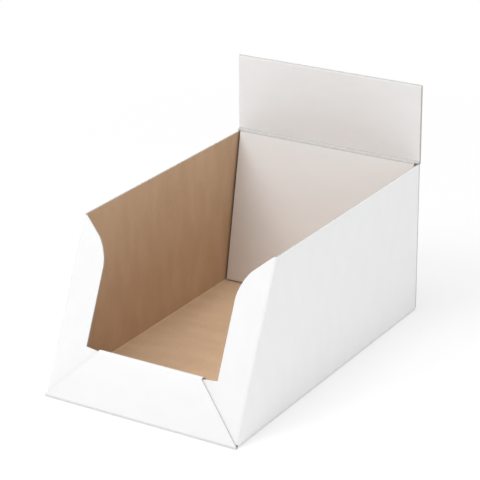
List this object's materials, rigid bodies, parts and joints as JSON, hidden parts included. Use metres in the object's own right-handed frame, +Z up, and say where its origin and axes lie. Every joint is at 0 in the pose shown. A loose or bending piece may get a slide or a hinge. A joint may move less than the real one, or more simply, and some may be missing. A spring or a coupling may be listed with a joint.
{
  "type": "cardboard display box with header",
  "caption": "Open counter display tray folded from white-faced kraft board, with sloping side fronts, a low rolled front lip, a leaning inner back and a raised header.",
  "frame": {"origin": "centre of the bounding box's underside, on the surface the box stands on", "axes": "+X across the width, +Y from the front lip to the back, +Z up"},
  "size_m": [0.18, 0.3048, 0.207],
  "materials": {
    "white_faced_board": "matt white outer face, bare brown kraft inner face"
  },
  "bodies": {
    "root": {"folded_display_box": "white_faced_board"}
  },
  "joints": []
}
